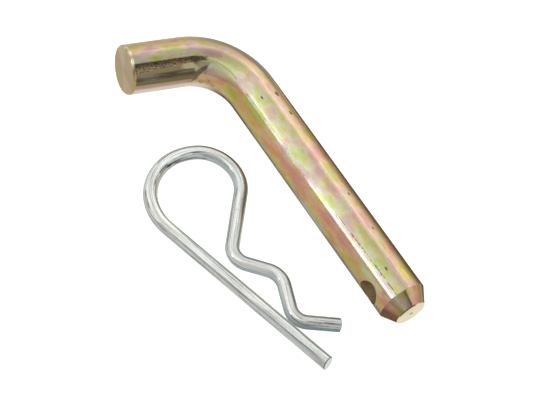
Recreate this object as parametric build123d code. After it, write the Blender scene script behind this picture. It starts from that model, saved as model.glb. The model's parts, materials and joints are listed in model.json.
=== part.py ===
from build123d import *
import os
from math import cos, radians, sin

# A hitch pin lock: a bent round pin and the spring clip that locks it, lying side by side.
# Millimetres and degrees. The origin is where the cross hole's axis meets the shaft's axis.
# +X runs along the shaft to its tip and +Z is up. Both pieces lie flat on one surface.

# Pin: one round bar with a short arm, a cross hole and a chamfered tip
pin_diameter = 15.875  # 5/8 in
shaft_length = 88.7  # straight run from the bend to the tip
hole_to_tip = 12.1  # from the hole's axis to the tip's face
hole_diameter = 7.75
hole_lean = 7.0  # how far the hole's axis leans down on the arm's side
tip_face_diameter = 9.75
tip_chamfer_length = 5.0
bend_radius = 19.6  # to the bar's centre line
bend_turn = 77.4  # leaves the arm at 102.6 degrees to the shaft
arm_length = 19.4  # straight run from the bend to the arm's end face
arm_end_rounding = 0.8

# Clip: one wire bent in a plane. Runs and radii are to the wire's centre line, in their
# order from the leg's tip, and each bend is its radius and how far it turns.
wire_diameter = 4.45
leg_length = 63.6
leg_end_lean = 14.0  # the leg's sheared end leans back by this much towards its top
eye_first_bend = (15.3, 54.3)
eye_crown_bend = (18.3, 72.0)
eye_last_bend = (11.7, 112.2)
first_ramp_length = 19.8
first_pinch_bend = (5.2, 87.6)
hump_rise_length = 7.0
hump_bend = (6.1, 67.5)
hump_fall_length = 8.1
second_pinch_bend = (4.9, 80.4)
flared_end_length = 10.2
wire_end_bevel = 0.25
crown_gap = 0.03  # between the wire's two halves, where the spring arm flexes

# Where the clip lies beside the pin
leg_tip_x = 13.67
leg_tip_y = -30.02
clip_yaw = 17.7  # from +X to the way that the leg points

pin_radius = pin_diameter / 2
wire_radius = wire_diameter / 2
surface_z = -pin_radius


def clockwise(bend):
    """The same bend, turning the other way."""
    radius, turn = bend
    return (radius, -turn)


def bent_path(start, direction, moves):
    """Runs and tangent arcs joined end to end. A move is a length, or a radius and a turn."""
    edges = []
    point = Vector(start)
    heading = Vector(direction)
    for move in moves:
        if isinstance(move, tuple):
            radius, turn = move
            edge = JernArc(point, heading, radius, turn)
        else:
            edge = Line(point, point + heading * move)
        edges.append(edge.edge())
        point = edge @ 1
        heading = edge % 1
    return Wire(edges)


def round_bar(path, diameter):
    """A round bar along a path."""
    section = Plane(origin=path @ 0, z_dir=path % 0) * Circle(diameter / 2)
    return sweep(section, path=path)


def flat_face_at(solid, point):
    """The flat end face nearest to a point."""
    return solid.faces().filter_by(GeomType.PLANE).sort_by_distance(point)[0]


def tip_chamfer():
    """What the chamfer takes off the shaft's tip: all that is outside a cone."""
    to_tip = (Align.CENTER, Align.CENTER, Align.MAX)
    blank = Cylinder(pin_diameter, tip_chamfer_length, align=to_tip)
    cone = Cone(pin_radius, tip_face_diameter / 2, tip_chamfer_length, align=to_tip)
    return Location((hole_to_tip, 0, 0), (0, 90, 0)) * (blank - cone)


def cross_hole():
    """The clip's hole through the shaft, square to the shaft and nearly in the bend's plane."""
    lean = radians(hole_lean)
    across = Plane(origin=(0, 0, 0), z_dir=(0, -cos(lean), -sin(lean)))
    return across * Cylinder(hole_diameter / 2, 2 * pin_diameter)


def hitch_pin():
    """The whole pin, swept from the shaft's tip back round the bend to the arm's end."""
    moves = [shaft_length, (bend_radius, bend_turn), arm_length]
    path = bent_path((hole_to_tip, 0, 0), (-1, 0, 0), moves)
    bar = round_bar(path, pin_diameter)
    arm_end = flat_face_at(bar, path @ 1)
    bar = fillet(arm_end.edges(), arm_end_rounding)
    return bar - tip_chamfer() - cross_hole()


def clip_paths():
    """The wire's two halves, which meet at the eye's crown, where the wire runs crosswise."""
    crown_radius, crown_turn = eye_crown_bend
    turn_before_crown = 90 - eye_first_bend[1]
    turn_after_crown = crown_turn - turn_before_crown
    leg_side = [leg_length, clockwise(eye_first_bend), clockwise((crown_radius, turn_before_crown))]
    arm_side = [
        clockwise((crown_radius, turn_after_crown)),
        clockwise(eye_last_bend),
        first_ramp_length,
        first_pinch_bend,
        hump_rise_length,
        clockwise(hump_bend),
        hump_fall_length,
        second_pinch_bend,
        flared_end_length,
    ]
    leg_path = bent_path((0, 0, 0), (-1, 0, 0), leg_side)
    arm_path = bent_path(leg_path @ 1 + Vector(0, crown_gap, 0), (0, 1, 0), arm_side)
    return leg_path, arm_path


def sheared(leg):
    """The leg with its end cut askew, as a wire cutter leaves it. It ends at the origin."""
    lean = radians(leg_end_lean)
    cut = Plane(origin=(0, 0, -wire_radius), z_dir=(cos(lean), 0, sin(lean)))
    return split(leg, bisect_by=cut, keep=Keep.BOTTOM)


def clip_half(wire, free_end):
    """One half of the wire in its place, with the sharp edge taken off its free end."""
    wire = chamfer(flat_face_at(wire, free_end).edges(), wire_end_bevel)
    place = Location((leg_tip_x, leg_tip_y, surface_z + wire_radius), (0, 0, clip_yaw))
    return place * wire


leg_path, arm_path = clip_paths()
leg = sheared(round_bar(leg_path, wire_diameter))
spring_arm = round_bar(arm_path, wire_diameter)
nodes = {
    "hitch_pin": hitch_pin(),
    "clip_leg": clip_half(leg, free_end=leg_path @ 0),
    "clip_spring_arm": clip_half(spring_arm, free_end=arm_path @ 1),
}

os.makedirs("parts", exist_ok=True)
for name, shape in nodes.items():
    export_step(shape, f"parts/{name}.step")
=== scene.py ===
import json
from math import atan2, ceil, cos, degrees, pi, radians, sin, sqrt, tan

import bpy
import numpy as np
from mathutils import Matrix, Vector


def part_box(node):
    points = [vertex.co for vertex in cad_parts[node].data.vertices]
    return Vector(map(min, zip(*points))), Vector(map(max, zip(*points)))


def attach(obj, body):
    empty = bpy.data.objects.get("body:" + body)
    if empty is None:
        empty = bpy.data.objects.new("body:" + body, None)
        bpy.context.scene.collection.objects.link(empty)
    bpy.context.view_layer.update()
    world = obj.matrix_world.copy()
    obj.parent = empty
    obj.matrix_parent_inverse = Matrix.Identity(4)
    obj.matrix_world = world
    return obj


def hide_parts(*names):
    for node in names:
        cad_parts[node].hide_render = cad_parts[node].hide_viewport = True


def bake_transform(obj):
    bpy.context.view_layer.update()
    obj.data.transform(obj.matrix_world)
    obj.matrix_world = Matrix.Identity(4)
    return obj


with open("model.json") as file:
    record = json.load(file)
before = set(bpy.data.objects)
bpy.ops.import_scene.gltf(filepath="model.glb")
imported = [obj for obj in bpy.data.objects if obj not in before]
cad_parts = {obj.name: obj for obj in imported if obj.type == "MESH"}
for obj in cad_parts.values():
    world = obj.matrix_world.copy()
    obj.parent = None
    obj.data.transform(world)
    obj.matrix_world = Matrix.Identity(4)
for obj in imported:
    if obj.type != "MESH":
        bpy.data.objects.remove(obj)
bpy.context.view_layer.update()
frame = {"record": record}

# A bent hitch pin in yellow zinc and its wire clip in bright zinc, lying side by side.
# Lengths are metres, written as millimetres times MM. The frame is the CAD model's: the
# origin is the cross hole's centre, +X runs along the shaft to its tip and +Z is up.
MM = 0.001
mounts = {mount["name"]: mount for mount in frame["record"]["mounts"]}

# Sizes read from the frame
pin_low, pin_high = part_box("hitch_pin")
floor_z = pin_low.z
# the CAD solids' boxes are those of faceted meshes, so the round skins stay a hair inside them
skin_inset = 0.03 * MM
pin_radius = mounts["shaft"]["dims"]["r_mm"] * MM - skin_inset
hole_radius = mounts["cross_hole"]["dims"]["r_mm"] * MM
hole_axis = Vector(mounts["cross_hole"]["axis"]).normalized()
wire_radius = mounts["clip_leg"]["dims"]["r_mm"] * MM - skin_inset
leg_direction = Vector(mounts["clip_leg"]["axis"]).normalized()
hole_to_tip = pin_high.x

# The pin's bar, from the tip's face to the arm's end face
shaft_length = 88.7 * MM
bend_radius = 19.6 * MM
bend_turn = 77.4
arm_length = 19.4 * MM
tip_face_radius = 4.875 * MM
tip_face_rings = (0.5, 1.2, 2.0, 2.8, 3.6, 4.3)
tip_chamfer_length = 5.0 * MM
arm_end_rounding = 0.8 * MM
arm_face_rings = (6.2, 5.2, 4.0, 2.8, 1.6, 0.6)
pin_moves = [shaft_length, (bend_radius, bend_turn), arm_length]

# The clip's wire, from the leg's tip to the flared end: runs, and bends as radius and turn
leg_length = 63.6 * MM
leg_end_lean = 14.0  # the leg's sheared end leans back by this much towards its top
lean_fades_over = 5.0 * MM
mount_to_leg_tip = 6.6 * MM
eye_first_bend = (15.3 * MM, -54.3)
eye_crown_bend = (18.3 * MM, -72.0)
eye_last_bend = (11.7 * MM, -112.2)
clip_moves = [
    leg_length,
    eye_first_bend,
    eye_crown_bend,
    eye_last_bend,
    19.8 * MM,
    (5.2 * MM, 87.6),
    7.0 * MM,
    (6.1 * MM, -67.5),
    8.1 * MM,
    (4.9 * MM, 80.4),
    10.2 * MM,
]


# ---------------------------------------------------------------- bars and wires


touching = 1e-9  # distances this close count as equal


def path_frames(moves, start, direction, distances):
    """Points and left-hand sides at these distances along runs and tangent arcs."""
    stops = []
    point = np.array(start, float)
    heading = atan2(direction[1], direction[0])
    travelled = 0.0
    for move in moves:
        radius, turn = move if isinstance(move, tuple) else (None, 0.0)
        length = move if radius is None else radius * radians(abs(turn))
        stops.append((travelled, travelled + length, point.copy(), heading, radius, radians(turn)))
        if radius is None:
            point += length * np.array([cos(heading), sin(heading), 0])
        else:
            point = arc_point(point, heading, radius, radians(turn), 1.0)
            heading += radians(turn)
        travelled += length
    points, sides = [], []
    for distance in distances:
        first, last, origin, angle, radius, turn = next(
            (stop for stop in stops if distance <= stop[1] + touching), stops[-1]
        )
        if radius is None:
            place = origin + (distance - first) * np.array([cos(angle), sin(angle), 0])
        else:
            share = (distance - first) / (last - first)
            place = arc_point(origin, angle, radius, turn, share)
            angle += turn * share
        points.append(place)
        sides.append((-sin(angle), cos(angle), 0))
    return np.array(points), np.array(sides)


def arc_point(start, heading, radius, turn, share):
    """The point this share of the way round an arc that starts at start."""
    side = 1 if turn > 0 else -1
    centre = start + side * radius * np.array([-sin(heading), cos(heading), 0])
    angle = heading + turn * share
    return centre - side * radius * np.array([-sin(angle), cos(angle), 0])


def path_length(moves):
    return sum(m[0] * radians(abs(m[1])) if isinstance(m, tuple) else m for m in moves)


def spaced(first, last, step):
    """Evenly spaced values from first to last, about a step apart."""
    steps = abs(last - first) / step
    count = max(1, ceil(steps - 1e-6))  # a whole number of steps isn't rounded up
    return list(np.linspace(first, last, count + 1))


class Skin:
    """Vertices, faces and bar coordinates of one mesh.

    A vertex's bar coordinates are its distance along the bar's centre line and its offsets
    up and sideways from it, as if the bar were straight, so textures follow the bends."""

    def __init__(self, moves, start, direction, lean=0.0):
        self.moves, self.start, self.direction, self.lean = moves, start, direction, lean
        self.points, self.bars, self.faces = [], [], []

    def add(self, bars):
        """Add vertices at these bar coordinates, and return their numbers."""
        bars = np.array(bars, float).reshape(-1, 3)
        # a first end that leans back: its top is set back, and the lean fades out along the bar
        leaning = tan(radians(self.lean)) * np.clip(1 - bars[:, 0] / lean_fades_over, 0, 1)
        distances = bars[:, 0] + leaning * (bars[:, 1] + wire_radius)
        centre, side = path_frames(self.moves, self.start, self.direction, distances)
        up = np.array([0, 0, 1.0])
        places = centre + bars[:, 1:2] * up + bars[:, 2:3] * side
        first = len(self.points)
        self.points += [tuple(p) for p in places]
        self.bars += [tuple(b) for b in bars]
        return list(range(first, first + len(bars)))

    def ring(self, distance, radius, angles):
        return self.add([(distance, radius * cos(a), radius * sin(a)) for a in angles])

    def join(self, ring_a, ring_b, skip=()):
        """Quads between two closed rings, leaving out the columns in skip."""
        count = len(ring_a)
        for i in range(count):
            if i not in skip:
                j = (i + 1) % count
                self.faces.append((ring_a[i], ring_b[i], ring_b[j], ring_a[j]))

    def cap(self, ring, distance, backwards=False):
        """A fan that closes a ring at the bar's centre line."""
        centre = self.add([(distance, 0, 0)])[0]
        for i in range(len(ring)):
            j = (i + 1) % len(ring)
            face = (ring[i], ring[j], centre)
            self.faces.append(face[::-1] if backwards else face)

    def piece(self, name, material):
        mesh = bpy.data.meshes.new(name)
        mesh.from_pydata(self.points, [], self.faces)
        attribute = mesh.attributes.new("bar", "FLOAT_VECTOR", "POINT")
        attribute.data.foreach_set("vector", np.array(self.bars, np.float32).ravel())
        mesh.materials.append(material)
        mesh.shade_smooth()
        mesh.update()
        thing = bpy.data.objects.new(name, mesh)
        bpy.context.scene.collection.objects.link(thing)
        return thing


def rounded_corner(corner, before, after, radius, steps=5):
    """Points on the arc that rounds the corner of a profile of (distance, radius) points."""
    corner = Vector(corner)
    back = (Vector(before) - corner).normalized()
    ahead = (Vector(after) - corner).normalized()
    half = back.angle(ahead) / 2
    cut = radius / tan(half)
    centre = corner + (back + ahead).normalized() * radius / sin(half)
    first = corner + back * cut - centre
    last = corner + ahead * cut - centre
    sweep = first.angle_signed(last)
    points = []
    for i in range(steps + 1):
        angle = -sweep * i / steps
        turned = Vector((
            first.x * cos(angle) - first.y * sin(angle),
            first.x * sin(angle) + first.y * cos(angle),
        ))
        points.append(tuple(centre + turned))
    return points


# ---------------------------------------------------------------- the pin

columns = 144
column_angle = 2 * pi / columns
# angles go round from +Z towards -Y, and the first column is where the hole leaves the far side
hole_angle = atan2(-hole_axis.y, hole_axis.z)
pin_angles = [hole_angle + i * column_angle for i in range(columns)]
window_columns = 16  # each way from the hole's centre
window_reach = 5.25 * MM
row_step = 0.75 * MM
hole_edge_rounding = 0.18 * MM
crisp_rounding = 0.22 * MM
cone_shares = (0.2, 0.35, 0.5, 0.65, 0.8)  # of the way up the tip's cone
clear_of_chamfer = 0.35 * MM
window_shares = (0.25, 0.5, 0.72, 0.88, 1.0)  # of the way in from the window's border
mouth_steps = 4
wall_steps = 12


def tip_profile():
    """(distance, radius) from the middle of the tip's face to the full shaft."""
    face_corner = (0.0, tip_face_radius)
    cone_corner = (tip_chamfer_length, pin_radius)
    inner = [(0.0, r * MM) for r in tip_face_rings]
    face_edge = rounded_corner(face_corner, (0.0, 0.0), cone_corner, crisp_rounding)
    cone = [tuple(Vector(face_corner).lerp(Vector(cone_corner), share)) for share in cone_shares]
    cone_edge = rounded_corner(cone_corner, face_corner, (shaft_length, pin_radius), crisp_rounding)
    return inner + face_edge + cone + cone_edge


def arm_end_profile():
    """(distance, radius) from the full arm to the middle of its end face."""
    end = path_length(pin_moves)
    edge = rounded_corner((end, pin_radius), (0.0, pin_radius), (end, 0.0), arm_end_rounding, steps=8)
    return edge + [(end, r * MM) for r in arm_face_rings]


def shaft_rows():
    """Distances of the rings between the tip's chamfer and the arm's rounded end."""
    hole = hole_to_tip
    bend_start = shaft_length
    bend_end = shaft_length + bend_radius * radians(bend_turn)
    end = path_length(pin_moves) - arm_end_rounding
    rows = spaced(tip_chamfer_length + clear_of_chamfer, hole - window_reach, row_step)
    rows += spaced(hole - window_reach, hole + window_reach, row_step)[1:]
    rows += spaced(hole + window_reach, bend_start, row_step)[1:]
    rows += spaced(bend_start, bend_end, row_step)[1:]
    rows += spaced(bend_end, end, row_step)[1:-1]
    return rows


def nearest_row(rows, distance):
    return min(range(len(rows)), key=lambda i: abs(rows[i] - distance))


def hole_window(skin, rings, window_rows, middle_column):
    """Fill the window round one mouth of the hole, and return the mouth's ring and its angles.

    Rays run from each vertex of the window's border to the hole's edge."""
    low, high = middle_column - window_columns, middle_column + window_columns
    first, last = window_rows
    border = [(first, c) for c in range(low, high)]
    border += [(r, high) for r in range(first, last)]
    border += [(last, c) for c in range(high, low, -1)]
    border += [(r, low) for r in range(last, first, -1)]
    outer = [rings[r][c % columns] for r, c in border]
    middle_angle = pin_angles[middle_column % columns]
    middle = np.array([hole_to_tip, 0, 0])
    across = np.array([0, -sin(middle_angle), cos(middle_angle)])
    outward = np.array([0, cos(middle_angle), sin(middle_angle)])
    along = np.array([1.0, 0, 0])
    rays = []
    for number in outer:
        offset = np.array(skin.bars[number]) - middle
        angle = atan2(offset @ across, offset @ along)
        rays.append((angle, offset @ along, offset @ across))

    def on_surface(x, y, depth=0.0):
        return middle + along * x + across * y + outward * (sqrt(pin_radius**2 - y**2) - depth)

    ring = outer
    edge = hole_radius + hole_edge_rounding
    for share in window_shares:
        inner = []
        for angle, x, y in rays:
            x_in, y_in = edge * cos(angle), edge * sin(angle)
            inner.append(on_surface(x + (x_in - x) * share, y + (y_in - y) * share))
        inner = skin.add(inner)
        skin.join(ring, inner)
        ring = inner
    for step in range(1, mouth_steps + 1):
        turn = step * pi / 2 / mouth_steps
        reach = hole_radius + hole_edge_rounding * (1 - sin(turn))
        depth = hole_edge_rounding * (1 - cos(turn))
        inner = []
        for angle, x, y in rays:
            base = edge * sin(angle)
            surface = sqrt(pin_radius**2 - base**2) - depth
            inner.append(
                middle + along * reach * cos(angle) + across * reach * sin(angle) + outward * surface
            )
        inner = skin.add(inner)
        skin.join(ring, inner)
        ring = inner
    return ring, [angle for angle, x, y in rays]


def hole_wall(skin, near, far):
    """The drilled wall between the hole's two mouths."""
    ring, angles = near
    other, other_angles = far
    # seen along the hole, the far mouth's angles run the other way
    partner = []
    for angle in angles:
        gaps = [abs((angle + a + pi) % (2 * pi) - pi) for a in other_angles]
        partner.append(other[gaps.index(min(gaps))])
    start = [np.array(skin.bars[n]) for n in ring]
    end = [np.array(skin.bars[n]) for n in partner]
    for step in range(1, wall_steps):
        share = step / wall_steps
        inner = skin.add([a + (b - a) * share for a, b in zip(start, end)])
        skin.join(ring, inner)
        ring = inner
    skin.join(ring, partner)


def build_pin(material):
    """The whole bar as one closed mesh, with the cross hole left open."""
    skin = Skin(pin_moves, (hole_to_tip, 0, 0), (-1, 0, 0))
    profile = tip_profile()
    rows = shaft_rows()
    tip_count = len(profile)
    profile = profile + [(s, pin_radius) for s in rows] + arm_end_profile()
    rings = [skin.ring(s, r, pin_angles) for s, r in profile]
    first = tip_count + nearest_row(rows, hole_to_tip - window_reach)
    last = tip_count + nearest_row(rows, hole_to_tip + window_reach)
    middles = (0, columns // 2)
    skipped = {(m + c) % columns for m in middles for c in range(-window_columns, window_columns)}
    for i in range(len(rings) - 1):
        skin.join(rings[i], rings[i + 1], skip=skipped if first <= i < last else ())
    skin.cap(rings[0], 0.0)
    skin.cap(rings[-1], profile[-1][0], backwards=True)
    near = hole_window(skin, rings, (first, last), middles[0])
    far = hole_window(skin, rings, (first, last), middles[1])
    hole_wall(skin, near, far)
    return skin.piece("pin_bar", material)


# ---------------------------------------------------------------- the clip

wire_columns = 56
wire_step = 0.4 * MM
wire_end_rounding = 0.3 * MM
wire_face_rings = (0.5, 1.0, 1.5)
# the wire's two meshes meet where it has turned right back, on the far side of the eye
turn_left = 180 + eye_first_bend[1] + eye_crown_bend[1]
eye_far_side = path_length([leg_length, eye_first_bend, eye_crown_bend, (eye_last_bend[0], turn_left)])


def build_wire(name, first, last, material, close_first=False, close_last=False):
    """The wire between two distances from the leg's tip, with its free ends closed."""
    tip = leg_tip()
    skin = Skin(clip_moves, tip, tuple(-leg_direction), lean=leg_end_lean)
    angles = [2 * pi * i / wire_columns for i in range(wire_columns)]
    profile = []
    start, end = first, last
    if close_first:
        profile += [(first, r * MM) for r in wire_face_rings]
        profile += rounded_corner(
            (first, wire_radius), (first, 0.0), (last, wire_radius), wire_end_rounding
        )
        start = first + wire_end_rounding + wire_step / 2
    if close_last:
        end = last - wire_end_rounding - wire_step / 2
    profile += [(s, wire_radius) for s in spaced(start, end, wire_step)]
    if close_last:
        profile += rounded_corner(
            (last, wire_radius), (first, wire_radius), (last, 0.0), wire_end_rounding
        )
        profile += [(last, r * MM) for r in wire_face_rings[::-1]]
    rings = [skin.ring(s, r, angles) for s, r in profile]
    for i in range(len(rings) - 1):
        skin.join(rings[i], rings[i + 1])
    # at the split inside the wire, a plug on its own ring keeps the wire's shading smooth
    last_ring = rings[-1] if close_last else skin.ring(last, wire_radius, angles)
    first_ring = rings[0] if close_first else skin.ring(first, wire_radius, angles)
    skin.cap(last_ring, last, backwards=True)
    skin.cap(first_ring, first)
    return skin.piece(name, material)


def leg_tip():
    """Where the wire's centre line starts, square above the lowest point of the leg's end."""
    point = Vector(mounts["clip_leg"]["pos_m"])
    return tuple(point + leg_direction * (mount_to_leg_tip - skin_inset))


# ---------------------------------------------------------------- materials

bump_height = 0.02 * MM


def new_material(name):
    material = bpy.data.materials.new(name)
    material.use_nodes = True
    tree = material.node_tree
    return material, tree, tree.nodes["Principled BSDF"]


def feed(tree, socket, value):
    """Give a socket a constant, or link it to another node's output."""
    if isinstance(value, bpy.types.NodeSocket):
        tree.links.new(value, socket)
    elif isinstance(value, tuple) and len(value) == 3 and socket.type == "RGBA":
        socket.default_value = (*value, 1)
    else:
        socket.default_value = value


def calculate(tree, operation, *values):
    made = tree.nodes.new("ShaderNodeMath")
    made.operation = operation
    for socket, value in zip(made.inputs, values):
        feed(tree, socket, value)
    return made.outputs[0]


def vector_math(tree, operation, *values, output=0):
    made = tree.nodes.new("ShaderNodeVectorMath")
    made.operation = operation
    for socket, value in zip(made.inputs, values):
        feed(tree, socket, value)
    return made.outputs[output]


def smooth(tree, value, low, high):
    """0 below low, 1 above high and a smooth step between; high may be the smaller."""
    made = tree.nodes.new("ShaderNodeMapRange")
    made.interpolation_type = "SMOOTHSTEP"
    feed(tree, made.inputs["Value"], value)
    first, last = (low, high) if low < high else (high, low)
    made.inputs["From Min"].default_value = first
    made.inputs["From Max"].default_value = last
    made.inputs["To Min"].default_value = 0.0 if low < high else 1.0
    made.inputs["To Max"].default_value = 1.0 if low < high else 0.0
    return made.outputs["Result"]


def product(tree, *values):
    result = values[0]
    for value in values[1:]:
        result = calculate(tree, "MULTIPLY", result, value)
    return result


def mixed(tree, factor, colour_a, colour_b, blend_type="MIX"):
    made = tree.nodes.new("ShaderNodeMix")
    made.data_type = "RGBA"
    made.blend_type = blend_type
    for number, value in ((0, factor), (6, colour_a), (7, colour_b)):
        feed(tree, made.inputs[number], value)
    return made.outputs[2]


def ramp(tree, value, stops):
    """A colour ramp on a value; stops are (position, colour)."""
    made = tree.nodes.new("ShaderNodeValToRGB")
    elements = made.color_ramp.elements
    while len(elements) < len(stops):
        elements.new(0.5)
    for element, (position, colour) in zip(elements, stops):
        element.position = position
        element.color = (*colour, 1)
    tree.links.new(value, made.inputs["Fac"])
    return made.outputs["Color"]


def set_bump(tree, shader, height, strength):
    """Fine relief on a surface."""
    bump = tree.nodes.new("ShaderNodeBump")
    bump.inputs["Distance"].default_value = bump_height
    feed(tree, bump.inputs["Strength"], strength)
    tree.links.new(height, bump.inputs["Height"])
    tree.links.new(bump.outputs["Normal"], shader.inputs["Normal"])


class Bar:
    """The coordinates of a bar's surface in a material: distance along it and angle round it."""

    def __init__(self, tree):
        self.tree = tree
        place = tree.nodes.new("ShaderNodeAttribute")
        place.attribute_name = "bar"
        self.vector = place.outputs["Vector"]
        parts = tree.nodes.new("ShaderNodeSeparateXYZ")
        tree.links.new(self.vector, parts.inputs[0])
        self.along, up, side = parts.outputs
        turn = calculate(tree, "ARCTAN2", side, up)
        self.angle = calculate(tree, "MULTIPLY", turn, degrees(1))
        squares = [calculate(tree, "MULTIPLY", part, part) for part in (up, side)]
        self.radius = calculate(tree, "SQRT", calculate(tree, "ADD", *squares))

    def noise(self, along, across, detail=3.0, roughness=0.5, seed=0.0):
        """Noise whose features are this long along the bar and this wide across it."""
        tree = self.tree
        stretch = (1 / along, 1 / across, 1 / across)
        shift = (seed, seed * 0.7, seed * 1.3)
        scaled = vector_math(tree, "MULTIPLY_ADD", self.vector, stretch, shift)
        made = tree.nodes.new("ShaderNodeTexNoise")
        made.inputs["Scale"].default_value = 1.0
        made.inputs["Detail"].default_value = detail
        made.inputs["Roughness"].default_value = roughness
        tree.links.new(scaled, made.inputs["Vector"])
        return made.outputs["Fac"]

    def window(self, first, last, soft):
        """1 between two distances along the bar, with soft ends."""
        return product(
            self.tree,
            smooth(self.tree, self.along, first - soft, first + soft),
            smooth(self.tree, self.along, last + soft, last - soft),
        )

    def sector(self, first, last, soft):
        """1 between two angles round the bar, with soft edges."""
        return product(
            self.tree,
            smooth(self.tree, self.angle, first - soft, first + soft),
            smooth(self.tree, self.angle, last + soft, last - soft),
        )

    def zone(self, along, around):
        """1 in a patch of the bar. Along and around are (first, last, soft), in mm and degrees."""
        first, last, soft = along
        return product(
            self.tree, self.window(first * MM, last * MM, soft * MM), self.sector(*around)
        )

    def slanted(self, first, last, low, high, soft):
        """1 between two lines that run askew along the bar: each is (angle at first, at last)."""
        tree = self.tree
        passed = calculate(tree, "SUBTRACT", self.along, first)
        share = calculate(tree, "DIVIDE", passed, last - first)
        edges = [calculate(tree, "MULTIPLY_ADD", share, b - a, a) for a, b in (low, high)]
        above = calculate(tree, "SUBTRACT", self.angle, edges[0])
        below = calculate(tree, "SUBTRACT", edges[1], self.angle)
        return product(
            tree,
            self.window(first, last, 1 * MM),
            smooth(tree, above, -soft, soft),
            smooth(tree, below, -soft, soft),
        )

    def painted(self, colour, patches):
        """The colour under patches laid in order: (along, around, strength, tone, blend type)."""
        for along, around, strength, tone, blend_type in patches:
            amount = product(self.tree, self.zone(along, around), strength)
            colour = mixed(self.tree, amount, colour, tone, blend_type)
        return colour


# ---------------------------------------------------------------- yellow zinc

past_end = 400  # mm, beyond either end of the bars
# as Bar.zone takes them: all the way round, and the pin's arm with the last of its bend
all_round = (-200, 200, 5)
the_arm = (104, past_end, 6)

# Colour of the yellow chromate film round the bar: (angle in degrees from the top, colour).
# Here and in the patches below, the tones also make up for what the real metal mirrors and this
# studio doesn't have, so part of the light and shade is painted and stays put in another light.
film_and_painted_light_bands = [
    (-180, (0.72, 0.58, 0.42)),
    (-150, (0.66, 0.62, 0.40)),
    (-120, (0.76, 0.58, 0.40)),
    (-90, (0.72, 0.64, 0.42)),
    (-60, (0.72, 0.54, 0.34)),
    (-36, (0.72, 0.50, 0.28)),
    (-22, (0.84, 0.58, 0.34)),
    (-12, (0.82, 0.59, 0.45)),
    (-4, (0.80, 0.60, 0.55)),
    (5.5, (0.76, 0.60, 0.53)),
    (8.5, (0.63, 0.52, 0.45)),
    (18, (0.66, 0.58, 0.45)),
    (28, (0.76, 0.72, 0.55)),
    (40, (0.80, 0.80, 0.66)),
    (44, (0.84, 0.84, 0.78)),
    (49, (0.82, 0.80, 0.74)),
    (52, (0.71, 0.60, 0.45)),
    (60, (0.76, 0.50, 0.36)),
    (70, (0.78, 0.48, 0.33)),
    (78, (0.80, 0.54, 0.28)),
    (85, (0.72, 0.58, 0.24)),
    (95, (0.71, 0.59, 0.42)),
    (120, (0.72, 0.58, 0.46)),
    (150, (0.68, 0.62, 0.40)),
    (180, (0.72, 0.58, 0.42)),
]

# The same on the tip's cone, where the turned surface holds a browner film, with painted light and
# shade as on the bar
cone_bands = [
    (-180, (0.60, 0.48, 0.34)),
    (-60, (0.72, 0.50, 0.34)),
    (-30, (0.76, 0.51, 0.34)),
    (-20, (0.66, 0.38, 0.22)),
    (-12, (0.74, 0.46, 0.26)),
    (-4, (0.82, 0.55, 0.37)),
    (4, (0.90, 0.61, 0.48)),
    (13, (0.86, 0.60, 0.46)),
    (19, (0.46, 0.40, 0.27)),
    (28, (0.57, 0.50, 0.42)),
    (36, (0.68, 0.60, 0.43)),
    (44, (0.80, 0.68, 0.58)),
    (52, (0.62, 0.46, 0.38)),
    (60, (0.58, 0.38, 0.28)),
    (70, (0.60, 0.37, 0.29)),
    (76, (0.44, 0.25, 0.20)),
    (84, (0.27, 0.14, 0.11)),
    (100, (0.29, 0.19, 0.09)),
    (120, (0.45, 0.33, 0.20)),
    (180, (0.60, 0.48, 0.34)),
]

# Patches of film and of painted light and shade, as Bar.painted takes them: mm from the tip and
# degrees from the top
film_and_shading_patches = [
    # a painted olive reflection inside the bend
    ((80, 97, 9), (46, 84, 7), 1.0, (0.80, 0.90, 0.62), "MULTIPLY"),
    # a little darker towards the tip, and painted shade on top of the arm
    ((-past_end, 30, 20), all_round, 1.0, (0.88, 0.87, 0.86), "MULTIPLY"),
    (the_arm, (-26, 27, 5), 1.0, (0.72, 0.75, 0.74), "MULTIPLY"),
    (the_arm, (14, 27, 4), 1.0, (0.84, 0.82, 0.80), "MULTIPLY"),
    # a painted pale reflection under the arm
    (the_arm, (93, 150, 5), 1.0, (1.0, 0.82, 0.75), "MIX"),
    # a painted rosy reflection inside the bend, next to the arm
    ((102, 113, 3), (52, 76, 6), 0.85, (0.66, 0.48, 0.37), "MIX"),
]

# Painted light and shade on the bend, laid over the arm's dark bands
bend_shading_patches = [
    # a painted greener reflection where the bend meets the arm, painted shade above that and darker
    # painted shade outside the bend
    ((97, 104, 3), (40, 60, 6), 0.8, (0.76, 0.68, 0.44), "MIX"),
    ((95, 108, 4), (-24, 32, 8), 1.0, (0.78, 0.80, 0.74), "MULTIPLY"),
    ((86, 110, 5), (-60, -22, 5), 1.0, (0.48, 0.46, 0.38), "MIX"),
]

# Small dark dents in the shaft: distance from the tip, angle from the top, radius
dents = [
    (13.6 * MM, 21, 0.58 * MM),
    (82.0 * MM, 23, 0.50 * MM),
    (81.2 * MM, -15, 0.85 * MM),
    (73.2 * MM, -15, 0.65 * MM),
    (40.5 * MM, -14, 0.50 * MM),
    (27.0 * MM, -12, 0.50 * MM),
]
dent_tone = (0.14, 0.13, 0.13)


def dent(tree, bar, along, angle, size):
    """1 in a small ragged spot on the bar."""
    turn = radians(angle)
    centre = (along, pin_radius * cos(turn), pin_radius * sin(turn))
    offset = vector_math(tree, "SUBTRACT", bar.vector, centre)
    squeezed = vector_math(tree, "MULTIPLY", offset, (0.55, 1.0, 1.0))
    away = vector_math(tree, "LENGTH", squeezed, output="Value")
    ragged = bar.noise(0.5 * MM, 0.4 * MM, seed=along / MM)
    away = calculate(tree, "MULTIPLY_ADD", ragged, size, away)
    return smooth(tree, away, 1.35 * size, 0.85 * size)


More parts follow.
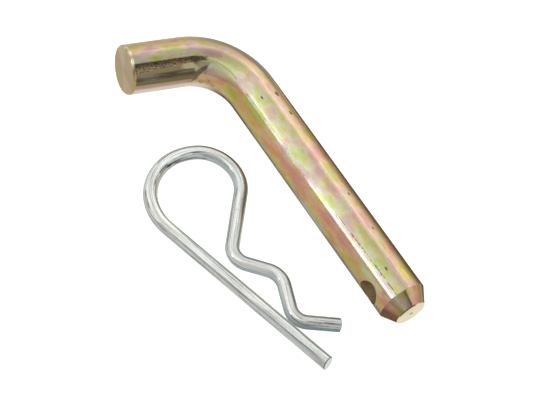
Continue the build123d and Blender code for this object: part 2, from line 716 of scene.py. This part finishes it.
def die_line(tree, bar):
    """A broken scratch that runs along the shaft from the tip, and slowly round it."""
    share = calculate(tree, "DIVIDE", bar.along, 40 * MM)
    middle = calculate(tree, "MULTIPLY_ADD", share, 5.0, 34.6)
    off = calculate(tree, "ABSOLUTE", calculate(tree, "SUBTRACT", bar.angle, middle))
    ragged = bar.noise(1.1 * MM, 0.5 * MM, detail=5.0, roughness=0.75, seed=7.7)
    width = calculate(tree, "MULTIPLY_ADD", ragged, 12.0, -5.2)
    across = smooth(tree, calculate(tree, "SUBTRACT", off, width), 0.9, -0.9)
    fading = smooth(tree, bar.along, 46 * MM, 30 * MM)
    broken = smooth(tree, bar.noise(4 * MM, 3 * MM, seed=5.9), 0.36, 0.5)
    return product(tree, across, fading, broken, smooth(tree, bar.along, 4.8 * MM, 5.4 * MM))


def banded_film_and_shade(tree, bar, cone):
    """The film's bands along the bar with their painted light and shade, wandering a little, in
    patches and flecks.
    """
    wander = calculate(tree, "SUBTRACT", bar.noise(14 * MM, 7 * MM, detail=3.0, seed=4.4), 0.5)
    turned = calculate(tree, "MULTIPLY_ADD", wander, 12.0, bar.angle)
    place = calculate(tree, "ADD", calculate(tree, "DIVIDE", turned, 360.0), 0.5)
    on_bar, on_cone = [
        ramp(tree, place, [((angle + 180) / 360, tone) for angle, tone in bands])
        for bands in (film_and_painted_light_bands, cone_bands)
    ]
    colour = mixed(tree, cone, on_bar, on_cone)
    patches = ramp(tree, bar.noise(9 * MM, 4.2 * MM, detail=2.5, seed=3.1), [
        (0.37, (0.80, 0.97, 0.50)),
        (0.44, (0.93, 1.0, 0.74)),
        (0.50, (1.0, 1.0, 1.0)),
        (0.56, (1.0, 0.85, 0.88)),
        (0.63, (0.93, 0.73, 0.86)),
    ])
    colour = mixed(tree, 1.0, colour, patches, "MULTIPLY")
    flecks = ramp(tree, bar.noise(3.2 * MM, 2.2 * MM, detail=3.0, seed=6.1), [
        (0.36, (1.0, 0.94, 0.52)),
        (0.46, (1.0, 1.0, 0.94)),
        (0.58, (1.0, 1.0, 1.0)),
        (0.68, (0.84, 0.98, 1.0)),
    ])
    return mixed(tree, 0.8, colour, flecks, "MULTIPLY")


def arm_bands(tree, bar, colour):
    """Dark bands on the arm's inner side: a speckled one, a smoky one and a golden edge, with
    a dark corner and a paler wedge where they start.

    They are probably dark surroundings mirrored in rough metal, and are painted on instead."""
    end = path_length(pin_moves)
    speckled = ramp(tree, bar.noise(0.55 * MM, 0.4 * MM, detail=2.0, seed=2.2), [
        (0.38, (0.15, 0.095, 0.05)),
        (0.62, (0.42, 0.33, 0.20)),
    ])
    smoky = ramp(tree, bar.noise(9 * MM, 2 * MM, detail=3.0, seed=12.9), [
        (0.42, (0.12, 0.09, 0.05)),
        (0.62, (0.25, 0.22, 0.17)),
    ])
    # (first, last, lowest angles, highest angles, soft, tone): angles at first and at last
    bands = (
        (111 * MM, end, (30, 27), (84, 82), 4, (0.28, 0.235, 0.13)),
        (113 * MM, end, (81, 79), (90, 90), 3, (0.60, 0.42, 0.34)),
        (107 * MM, 113.8 * MM, (40, 62), (48, 92), 2.5, (0.22, 0.17, 0.11)),
        (106 * MM, 113.2 * MM, (36, 37), (37, 61), 1.5, (0.50, 0.45, 0.27)),
        (112.2 * MM, 118 * MM, (37, 40), (61, 49), 1.5, (0.50, 0.45, 0.27)),
        (108 * MM, end, (23.5, 26), (34, 49), 1.2, speckled),
        (113 * MM, end, (52, 54), (70, 69), 2.5, smoky),
        (113 * MM, end, (71, 71), (80, 78), 2, (0.22, 0.20, 0.08)),
    )
    for first, last, low, high, soft, tone in bands:
        colour = mixed(tree, bar.slanted(first, last, low, high, soft), colour, tone)
    return colour


def bend_reflection_line_and_fold_shade(tree, bar, colour):
    """A thin painted dark reflection that crosses the bend, and folds where its inside was squeezed,
    their shade painted.
    """
    dark_reflection_line = bar.slanted(93 * MM, 107 * MM, (42.0, 26.4), (44.2, 28.6), 0.9)
    colour = mixed(tree, dark_reflection_line, colour, (0.50, 0.44, 0.26))
    squeezed = bar.zone((100, 116, 4), (74, 98, 6))
    ripples = bar.noise(0.8 * MM, 1.6 * MM, detail=4.0, roughness=0.7, seed=15.1)
    fold_shade = product(tree, squeezed, smooth(tree, ripples, 0.5, 0.36))
    return mixed(tree, fold_shade, colour, (0.42, 0.26, 0.14))


def bare_steel(tree, bar, tip_face):
    """The sawn and turned end faces and the drilled bore, which have no bands."""
    end = path_length(pin_moves)
    arm_face = smooth(tree, bar.along, end - 0.5 * MM, end - 0.2 * MM)
    sawn = ramp(tree, bar.noise(2.5 * MM, 2.5 * MM, detail=3.0, seed=11.3), [
        (0.38, (0.66, 0.60, 0.37)),
        (0.52, (0.70, 0.56, 0.41)),
        (0.64, (0.72, 0.54, 0.42)),
    ])
    far_wall = smooth(tree, bar.along, hole_to_tip - hole_radius, hole_to_tip + hole_radius)
    bore = mixed(tree, far_wall, (0.70, 0.62, 0.52), (0.72, 0.58, 0.38))
    colour = mixed(tree, arm_face, bore, sawn)
    return mixed(tree, tip_face, colour, (0.90, 0.82, 0.60))


def arm_edge_highlight(tree, bar, colour):
    """A painted highlight along the arm's end edge, broken up, and darker brown below."""
    end = path_length(pin_moves)
    edge = bar.window(end - 1.1 * MM, end - 0.1 * MM, 0.2 * MM)
    highlight_breaks = smooth(tree, bar.noise(5 * MM, 2.5 * MM, detail=3.0, seed=18.4), 0.36, 0.6)
    rim_highlight = product(tree, edge, bar.sector(-70, 36, 14), highlight_breaks)
    colour = mixed(tree, rim_highlight, colour, (0.82, 0.76, 0.50))
    darker_underside = product(tree, edge, bar.sector(48, 128, 14))
    return mixed(tree, darker_underside, colour, (0.62, 0.42, 0.20))


def tip_films(tree, bar, colour):
    """Greener film beside the hole, a pale sliver low on the shaft and gold beside the tip."""
    clouded = smooth(tree, bar.noise(5 * MM, 3.5 * MM, detail=3.0, seed=29.6), 0.32, 0.50)
    mossy = product(tree, bar.zone((7, 19, 2), (54, 70, 6)), clouded)
    colour = mixed(tree, mossy, colour, (0.62, 0.63, 0.34))
    sliver = product(tree, bar.zone((36, 49, 3), (98, 112, 3)), 0.8)
    colour = mixed(tree, sliver, colour, (0.72, 0.84, 0.84))
    patchy = smooth(tree, bar.noise(4 * MM, 2 * MM, detail=3.0, seed=27.4), 0.40, 0.55)
    gold = product(tree, bar.zone((6.5, 15, 1.5), (-15, -4, 4)), patchy)
    return mixed(tree, gold, colour, (0.78, 0.62, 0.16))


def marks_and_rim_shade(tree, bar, colour):
    """Specks, pits, a scratch, painted shade round the rim of the tip's face, dents and a centre mark.
    """
    flaws = bar.noise(0.7 * MM, 0.5 * MM, detail=3.0, roughness=0.7, seed=31.3)
    specks = product(tree, smooth(tree, flaws, 0.40, 0.34), bar.zone((50, 66, 4), (40, 53, 4)))
    colour = mixed(tree, specks, colour, (0.34, 0.30, 0.22))
    pits = bar.noise(2.2 * MM, 1.6 * MM, detail=5.0, roughness=0.7, seed=13.7)
    colour = mixed(tree, smooth(tree, pits, 0.30, 0.26), colour, (0.16, 0.14, 0.12))
    colour = mixed(tree, die_line(tree, bar), colour, (0.20, 0.16, 0.11))
    # painted shade round the rim of the tip's face
    rim_shade = bar.zone((0.05, 0.42, 0.08), (2, 74, 8))
    colour = mixed(tree, rim_shade, colour, (0.16, 0.13, 0.09))
    for along, angle, size in dents:
        colour = mixed(tree, dent(tree, bar, along, angle, size), colour, dent_tone)
    away = vector_math(tree, "DISTANCE", bar.vector, (0.0, 0.0, 0.0), output="Value")
    centre_mark = smooth(tree, away, 0.85 * MM, 0.3 * MM)
    return mixed(tree, centre_mark, colour, (0.30, 0.22, 0.15))


def pin_limb_tint(tree, bar):
    """The specular tint, which colours the metal only where it is seen almost edge-on, darkened there
    as painted shade: darkest along the lower side of the shaft and bend, and left white under the arm
    and on its ridge.
    """
    under_arm = bar.zone(the_arm, (93, 150, 5))
    ridge = bar.zone((109, past_end, 5), (-75, -20, 5))
    pale = calculate(tree, "MAXIMUM", under_arm, ridge)
    tint = mixed(tree, pale, (0.62, 0.60, 0.57), (1, 1, 1))
    # painted shade along the lower side of the shaft and the bend
    return bar.painted(tint, [
        ((-5, 101, 3), (97, 150, 5), 1.0, (0.38, 0.38, 0.40), "MIX"),
        ((76, 98, 4), (101, 150, 4), 1.0, (0.16, 0.15, 0.14), "MIX"),
    ])


def pin_roughness(tree, bar, banded):
    """Glossy film, frosted in two places, and dull end faces and bore."""
    roughness = calculate(tree, "MULTIPLY_ADD", bar.noise(3 * MM, 2 * MM, seed=6.5), 0.2, 0.05)
    dull = calculate(tree, "MULTIPLY", calculate(tree, "SUBTRACT", 1.0, banded), 0.5)
    roughness = calculate(tree, "MAXIMUM", roughness, dull)
    for along in ((87, 104, 4), (50, 66, 4)):
        frosted = calculate(tree, "MULTIPLY", bar.zone(along, (33, 58, 5)), 0.42)
        roughness = calculate(tree, "MAXIMUM", roughness, frosted)
    return roughness


def yellow_zinc():
    """Iridescent yellow chromate over zinc: gold, pink and green bands along the bar, in patches, with
    painted light and shade in its colour.
    """
    material, tree, shader = new_material("yellow_zinc")
    bar = Bar(tree)
    cone = bar.window(0.3 * MM, 4.9 * MM, 0.1 * MM)
    tip_face = smooth(tree, bar.along, 0.35 * MM, 0.15 * MM)
    on_side = smooth(tree, bar.radius, 7.35 * MM, 7.6 * MM)
    banded = calculate(tree, "MAXIMUM", on_side, cone)
    colour = bar.painted(banded_film_and_shade(tree, bar, cone), film_and_shading_patches)
    colour = arm_bands(tree, bar, colour)
    colour = bar.painted(colour, bend_shading_patches)
    colour = bend_reflection_line_and_fold_shade(tree, bar, colour)
    colour = mixed(tree, banded, bare_steel(tree, bar, tip_face), colour)
    mottle = ramp(tree, bar.noise(1.5 * MM, 0.9 * MM, detail=4.0, roughness=0.65, seed=8.2), [
        (0.36, (0.82, 0.96, 0.82)),
        (0.45, (1.0, 0.98, 0.82)),
        (0.52, (1.0, 1.0, 1.0)),
        (0.62, (1.0, 0.86, 0.90)),
    ])
    colour = mixed(tree, 0.9, colour, mottle, "MULTIPLY")
    colour = arm_edge_highlight(tree, bar, colour)
    colour = tip_films(tree, bar, colour)
    colour = marks_and_rim_shade(tree, bar, colour)
    feed(tree, shader.inputs["Base Color"], colour)
    feed(tree, shader.inputs["Specular Tint"], pin_limb_tint(tree, bar))
    # the tip's face is matt
    feed(tree, shader.inputs["Metallic"], calculate(tree, "MULTIPLY_ADD", tip_face, -0.8, 1.0))
    feed(tree, shader.inputs["Roughness"], pin_roughness(tree, bar, banded))
    grain = bar.noise(0.9 * MM, 0.45 * MM, detail=5.0, seed=1.7)
    pitted = product(
        tree, bar.window(90 * MM, path_length(pin_moves), 6 * MM), bar.sector(20, 50, 6)
    )
    set_bump(tree, shader, grain, calculate(tree, "MULTIPLY_ADD", pitted, 0.35, 0.3))
    return material


# ---------------------------------------------------------------- bright zinc

# Painted reflections of the wire in itself: dark streaks inside the eye and on its outer side, as
# (first, last, lowest angles, highest angles, tone), where each pair of angles is at first and
# at last
dark_streaks = [
    (79 * MM, 89 * MM, (-27, -40), (-17, -25), (0.16, 0.15, 0.15)),
    (88 * MM, 95 * MM, (-58, -90), (-34, -60), (0.14, 0.15, 0.17)),
    (66 * MM, 80 * MM, (-42, -34), (-34, -24), (0.42, 0.41, 0.40)),
    (95 * MM, 101 * MM, (-37, -39), (-31, -33), (0.26, 0.26, 0.26)),
    (71 * MM, 77 * MM, (38, 46), (52, 62), (0.34, 0.34, 0.33)),
    (94 * MM, 105 * MM, (-88, -98), (-64, -80), (0.26, 0.28, 0.30)),
]

# Light and shade that the studio doesn't give the wire, painted on: darker outside the eye and
# the waves, bluer on the arm's inner side and last a bright spot on the hump. As Bar.painted
# takes them
wire_patches = [
    ((-1, 62, 4), (-30, -12, 4), 1.0, (0.82, 0.87, 0.94), "MULTIPLY"),
    ((106, 134, 4), (0, 90, 6), 1.0, (0.72, 0.67, 0.64), "MULTIPLY"),
    ((100, 176, 4), (10, 46, 9), 1.0, (0.60, 0.64, 0.69), "MULTIPLY"),
    ((176, 200, 4), (8, 32, 8), 1.0, (0.64, 0.68, 0.73), "MULTIPLY"),
    ((138, 148, 4), (-8, 8, 5), 1.0, (0.76, 0.76, 0.75), "MULTIPLY"),
    ((148, 178, 4), (-6, 30, 8), 1.0, (0.74, 0.73, 0.71), "MULTIPLY"),
    ((176, 200, 4), (-22, 26, 8), 1.0, (0.74, 0.75, 0.76), "MULTIPLY"),
    ((104, 146, 4), (-130, -58, 7), 1.0, (0.78, 0.84, 0.86), "MULTIPLY"),
    ((146, 200, 4), (-122, -72, 8), 1.0, (0.60, 0.70, 0.73), "MULTIPLY"),
    ((176, 200, 4), (-122, -66, 8), 1.0, (0.50, 0.56, 0.60), "MULTIPLY"),
    ((136, 146, 4), (-66, -32, 6), 1.0, (0.74, 0.75, 0.75), "MULTIPLY"),
    ((148, 160, 3), (-48, -24, 5), 1.0, (0.98, 0.97, 0.92), "MIX"),
]


def drawn_wire(tree, bar):
    """Zinc with the fine lines, spots and one darker streak that the drawing die left."""
    colour = ramp(tree, bar.noise(16 * MM, 0.4 * MM, detail=4.0, roughness=0.65, seed=5.3), [
        (0.34, (0.30, 0.31, 0.30)),
        (0.42, (0.60, 0.62, 0.60)),
        (0.51, (0.75, 0.77, 0.74)),
        (0.60, (0.96, 0.97, 0.94)),
    ])
    tint = ramp(tree, bar.noise(22 * MM, 0.9 * MM, detail=2.0, seed=14.6), [
        (0.40, (0.94, 0.98, 1.0)),
        (0.50, (1.0, 1.0, 1.0)),
        (0.60, (1.0, 0.975, 0.94)),
    ])
    colour = mixed(tree, 1.0, colour, tint, "MULTIPLY")
    streak = product(tree, bar.sector(-23, -7, 3), smooth(tree, bar.along, 66 * MM, 56 * MM))
    colour = mixed(tree, streak, colour, (0.72, 0.73, 0.72), "MULTIPLY")
    spots = ramp(tree, bar.noise(1.0 * MM, 0.7 * MM, detail=4.0, roughness=0.7, seed=9.1), [
        (0.34, (0.80, 0.82, 0.82)),
        (0.46, (1.0, 1.0, 1.0)),
    ])
    return mixed(tree, 1.0, colour, spots, "MULTIPLY")


def wire_marks_and_shading(tree, bar, colour):
    """Painted dark reflections of the wire in itself, painted light and shade, and scratches on the
    flared end.
    """
    broken = smooth(tree, bar.noise(4 * MM, 0.5 * MM, detail=3.0, seed=21.8), 0.34, 0.5)
    for first, last, low, high, tone in dark_streaks:
        streak = product(tree, bar.slanted(first, last, low, high, 3), broken)
        colour = mixed(tree, streak, colour, tone)
    colour = bar.painted(colour, wire_patches)
    lines = smooth(tree, bar.noise(7 * MM, 0.22 * MM, detail=3.0, seed=24.9), 0.47, 0.41)
    scratched = product(tree, bar.zone((178, 189, 1.5), (-44, -6, 4)), lines)
    return mixed(tree, scratched, colour, (0.16, 0.16, 0.16))


def wire_ends(tree, bar, colour, cut):
    """A dark edge round each cut end, and a paler face."""
    skin_only = smooth(tree, bar.radius, wire_radius - 0.32 * MM, wire_radius - 0.22 * MM)
    leg_edge = bar.zone((-1, 0.3, 0.08), (-110, 104, 10))
    colour = mixed(tree, product(tree, leg_edge, skin_only), colour, (0.26, 0.26, 0.25))
    arm_edge = bar.window(path_length(clip_moves) - 0.28 * MM, past_end * MM, 0.08 * MM)
    colour = mixed(tree, product(tree, arm_edge, skin_only), colour, (0.34, 0.33, 0.30))
    return mixed(tree, cut, colour, (0.77, 0.81, 0.77))


def bright_zinc():
    """Clear zinc on drawn spring wire."""
    material, tree, shader = new_material("bright_zinc")
    bar = Bar(tree)
    cut = smooth(tree, bar.radius, wire_radius - 0.22 * MM, wire_radius - 0.36 * MM)
    colour = wire_marks_and_shading(tree, bar, drawn_wire(tree, bar))
    feed(tree, shader.inputs["Base Color"], wire_ends(tree, bar, colour, cut))
    feed(tree, shader.inputs["Specular Tint"], (0.74, 0.75, 0.75))
    # the cut faces are matt
    feed(tree, shader.inputs["Metallic"], calculate(tree, "MULTIPLY_ADD", cut, -0.8, 1.0))
    feed(tree, shader.inputs["Roughness"], 0.2)
    set_bump(tree, shader, bar.noise(12 * MM, 0.25 * MM, detail=4.0, seed=2.9), 0.6)
    return material


# ---------------------------------------------------------------- stage, light and camera


def sheet(name, low, high, height):
    """A level rectangle at this height, between two corners."""
    mesh = bpy.data.meshes.new(name)
    corners = [(low[0], low[1]), (high[0], low[1]), (high[0], high[1]), (low[0], high[1])]
    mesh.from_pydata([(x, y, height) for x, y in corners], [], [(0, 1, 2, 3)])
    thing = bpy.data.objects.new(name, mesh)
    bpy.context.scene.collection.objects.link(thing)
    material, _, shader = new_material(name + "_paint")
    shader.inputs["Roughness"].default_value = 1.0
    shader.inputs["Specular IOR Level"].default_value = 0.0
    mesh.materials.append(material)
    return thing, shader


# The floor that the metal mirrors has a gap beyond the pin, where it mirrors the dark below
gap_low_x, gap_high_x = -85 * MM, 14.5 * MM
gap_start_y = 20 * MM
mirrored_low_x = -400 * MM
mirrored_reach = 300 * MM


def build_floor():
    """A near-white floor for the eye, and a grey one that only the metal's reflections see."""
    floor, paint = sheet("floor", (-6, -6), (6, 6), floor_z)
    paint.inputs["Base Color"].default_value = (0.5, 0.5, 0.5, 1)
    paint.inputs["Emission Color"].default_value = (1, 1, 1, 1)
    paint.inputs["Emission Strength"].default_value = 0.92
    floor.visible_glossy = False
    reach = mirrored_reach
    near = ("floor_in_metal", (-3, -3), (reach, gap_start_y))
    corner = ("floor_corner_in_metal", (mirrored_low_x, gap_start_y), (gap_low_x, reach))
    beyond = ("floor_beyond_in_metal", (gap_high_x, gap_start_y), (reach, reach))
    for name, low, high in (near, corner, beyond):
        mirrored, paint = sheet(name, low, high, floor_z)
        paint.inputs["Base Color"].default_value = (0.64, 0.64, 0.63, 1)
        mirrored.visible_camera = False
        mirrored.visible_diffuse = False
        mirrored.visible_shadow = False


def past_edge(tree, direction, azimuth, tilt, soft):
    """1 for directions on the zenith's side of an edge, 0 beyond it.

    The edge is a great circle that lies tilt degrees from the zenith at its azimuth."""
    a, t = radians(azimuth), radians(tilt)
    normal = (-cos(a) * cos(t), -sin(a) * cos(t), sin(t))
    inside = vector_math(tree, "DOT_PRODUCT", direction, normal, output="Value")
    reach = sin(radians(soft))
    return smooth(tree, inside, -reach, reach)


# The studio seen from the object, set so that the metal's bands lie as on the real bars. It is
# not a real room. The cards are painted in this order: (brightness, edges), where an edge is
# (azimuth, tilt from the zenith, softness), and a card lies on the zenith's side of its edges
studio_cards = [
    # sides of the room, down to the horizon
    (0.52, [(0, 90, 2)]),
    # pale wall on the -X side
    (0.75, [(0, -50, 8), (38, 0, 6), (0, 90, 2)]),
    # big softbox overhead: near side, far side, +X side and -X side
    (0.98, [(-90, 53.5, 1.0), (90, 62, 20), (-10, 20, 2.5), (180, 82, 6)]),
    # its brighter far half
    (1.12, [(-90, -31, 0.8), (90, 64, 20), (-10, 22, 3), (180, 82, 6)]),
    # the bright seam between its halves
    (1.45, [(-90, -31, 0.8), (90, 37, 3), (-10, 22, 3), (180, 82, 6)]),
    # and its brighter near edge
    (1.35, [(-90, 53.5, 1.0), (90, -44, 9), (180, 82, 6), (0, -8, 12)]),
    # narrow strip light beside its near edge
    (3.5, [(-90, 65.8, 1.4), (90, -56.0, 1.0), (156.6, 0, 2), (-15.8, 0, 1.5)]),
    # second softbox, far on the +X side
    (0.78, [(180, -20, 2), (-110.8, -29.5, 1.2), (90, 84, 6), (0, 84, 6)]),
    # dark gap between the two softboxes, running out to +X
    (0.18, [(180, -18, 2), (69.2, 29.5, 1.2), (-90, -2, 3)]),
    # dark cloth low on the +X side
    (0.18, [(180, -57, 3), (-115, 0, 4), (68, 0, 3)]),
]


def build_studio():
    world = bpy.data.worlds.new("studio")
    world.use_nodes = True
    tree = world.node_tree
    background = tree.nodes["Background"]
    place = tree.nodes.new("ShaderNodeTexCoord")
    direction = place.outputs["Generated"]
    light = 0.26  # where there is no card
    for brightness, edges in studio_cards:
        card = product(tree, *[past_edge(tree, direction, *edge) for edge in edges])
        made = tree.nodes.new("ShaderNodeMix")
        feed(tree, made.inputs["Factor"], card)
        feed(tree, made.inputs["A"], light)
        feed(tree, made.inputs["B"], brightness)
        light = made.outputs["Result"]
    tree.links.new(light, background.inputs["Strength"])
    # the camera sees plain white beyond the floor
    output = tree.nodes["World Output"]
    plain = tree.nodes.new("ShaderNodeBackground")
    ray = tree.nodes.new("ShaderNodeLightPath")
    seen = tree.nodes.new("ShaderNodeMixShader")
    background.inputs["Color"].default_value = (1, 1, 1, 1)
    plain.inputs["Color"].default_value = (1, 1, 1, 1)
    tree.links.new(ray.outputs["Is Camera Ray"], seen.inputs["Fac"])
    tree.links.new(background.outputs[0], seen.inputs[1])
    tree.links.new(plain.outputs[0], seen.inputs[2])
    tree.links.new(seen.outputs[0], output.inputs["Surface"])
    bpy.context.scene.world = world


def build_camera():
    """A long lens, high on the pin's near side and rolled so that the shaft runs down to the right."""
    look = Vector((-0.350487, 0.496177, -0.794334))
    up = Vector((-0.766059, 0.336053, 0.547925))
    right = look.cross(up)
    camera = bpy.data.cameras.new("camera")
    camera.sensor_width = 36
    camera.lens = 126.4
    thing = bpy.data.objects.new("camera", camera)
    matrix = Matrix((right, up, -look)).transposed().to_4x4()
    matrix.translation = Vector((162.6, -303.94, 457.43)) * MM
    thing.matrix_world = matrix
    bpy.context.scene.collection.objects.link(thing)
    bpy.context.scene.camera = thing


bpy.context.scene.view_settings.view_transform = "Standard"
build_camera()
build_floor()
build_studio()

zinc_yellow = yellow_zinc()
zinc_bright = bright_zinc()

pin_bar = build_pin(zinc_yellow)
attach(pin_bar, "pin")
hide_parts("hitch_pin")

clip_end = path_length(clip_moves)
leg_and_eye = build_wire("clip_leg_and_eye", 0.0, eye_far_side, zinc_bright, close_first=True)
# the eye bends from just beside the straight leg to its far side, where the arm's mesh takes over
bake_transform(leg_and_eye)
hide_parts("clip_leg")
leg_and_eye.visible_glossy = False

spring_arm = build_wire("clip_arm_wire", eye_far_side, clip_end, zinc_bright, close_last=True)
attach(spring_arm, "clip_arm")
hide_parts("clip_spring_arm")
spring_arm.visible_glossy = False
